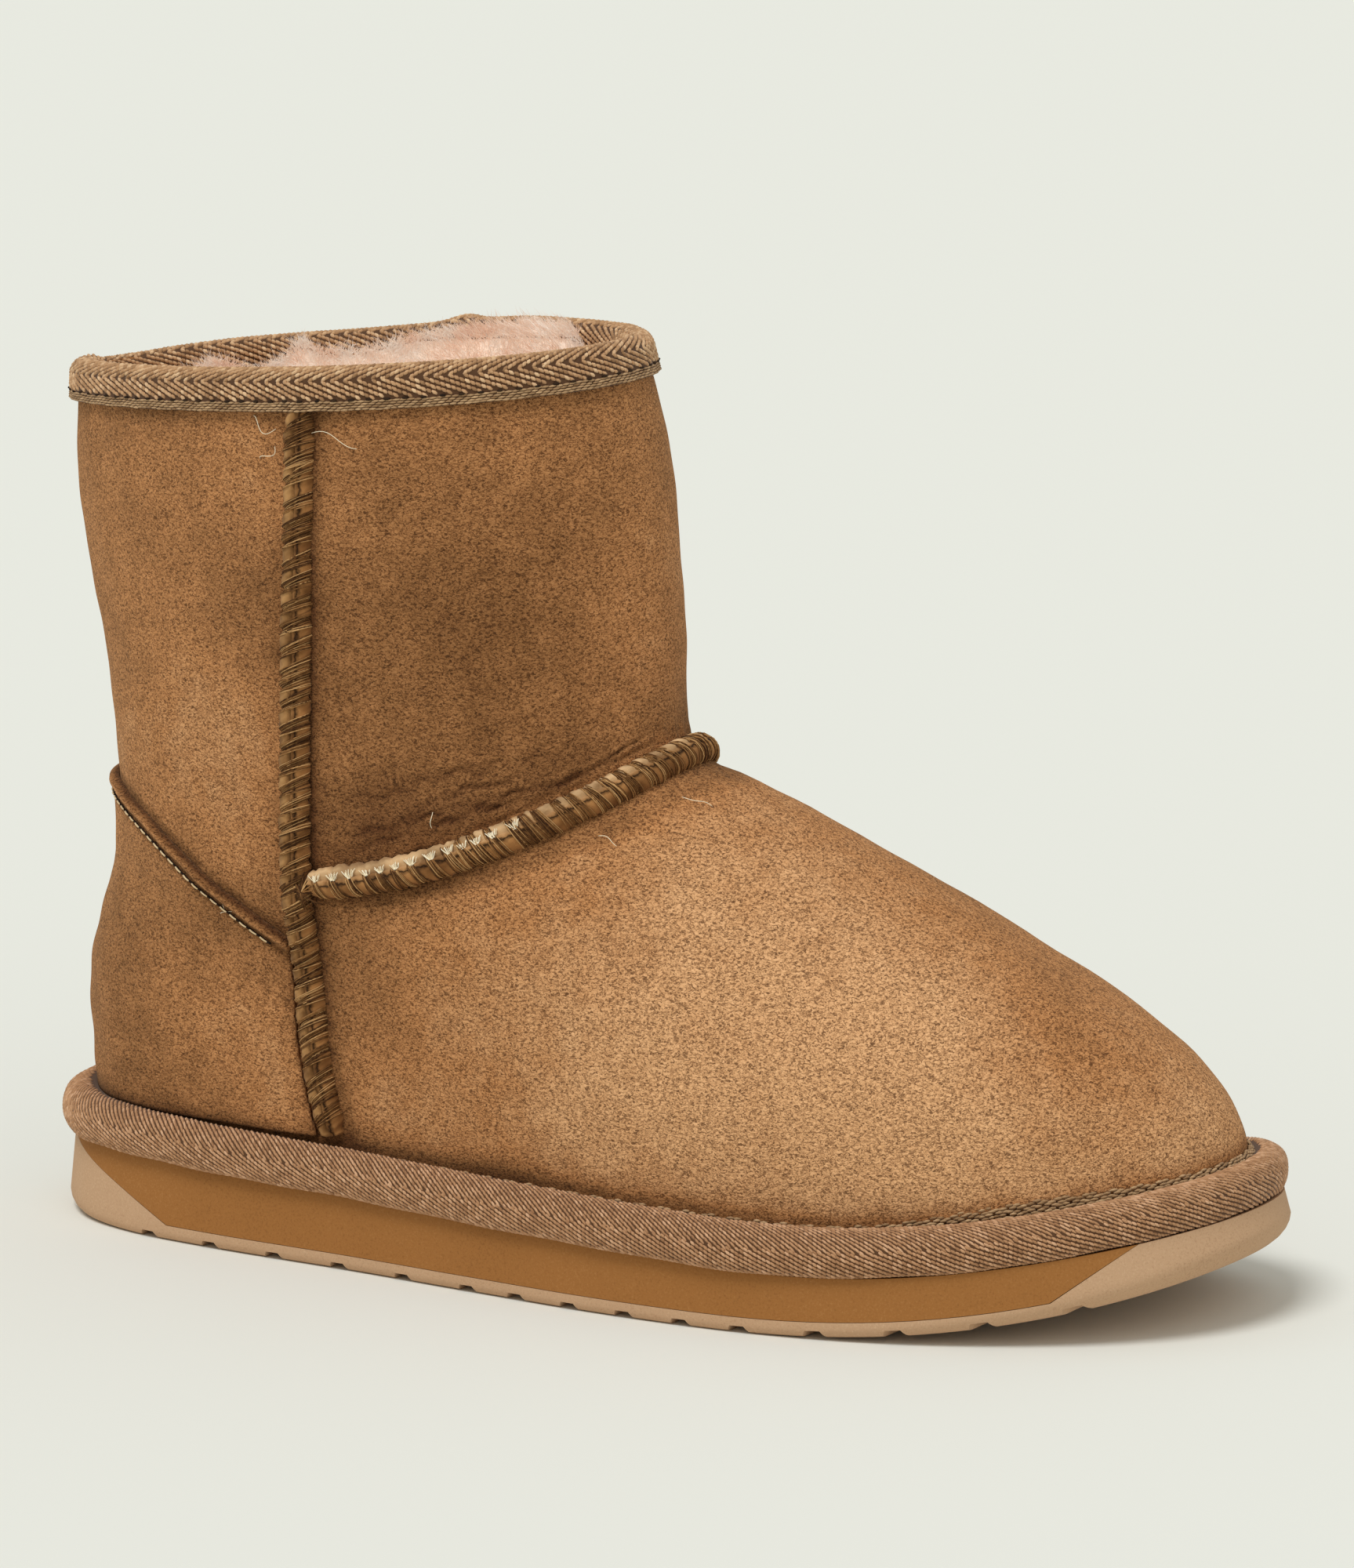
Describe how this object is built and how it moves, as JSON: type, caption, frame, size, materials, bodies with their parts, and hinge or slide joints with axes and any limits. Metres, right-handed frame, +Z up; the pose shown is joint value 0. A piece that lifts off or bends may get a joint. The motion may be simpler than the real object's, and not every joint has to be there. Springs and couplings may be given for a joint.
{
  "type": "sheepskin boot",
  "caption": "Ankle-high pull-on sheepskin boot for the right foot: suede upper with rolled seams, heel counter, taped collar, wool lining, woven welt and a flat foam sole.",
  "frame": {"origin": "middle of the boot's footprint, on the floor it stands on", "axes": "+X from heel to toe, +Y to the wearer's left, which is the inner side of this right boot, +Z up"},
  "size_m": [0.2672, 0.1008, 0.1885],
  "materials": {
    "pale_foam": "matt moulded foam rubber",
    "ochre_foam": "matt foam rubber",
    "woven_tape": "herringbone tape",
    "suede": "brushed suede",
    "seam_roll": "cut hide edges overcast with thread",
    "wool": "short fleece"
  },
  "bodies": {
    "root": {"outsole": "pale_foam", "midsole": "ochre_foam", "welt_binding": "woven_tape", "insole": "wool", "upper": "suede", "wool_lining": "wool", "heel_counter": "suede", "collar_binding": "woven_tape", "side_seam_outer": "seam_roll", "side_seam_inner": "seam_roll", "instep_seam": "seam_roll"}
  },
  "joints": []
}
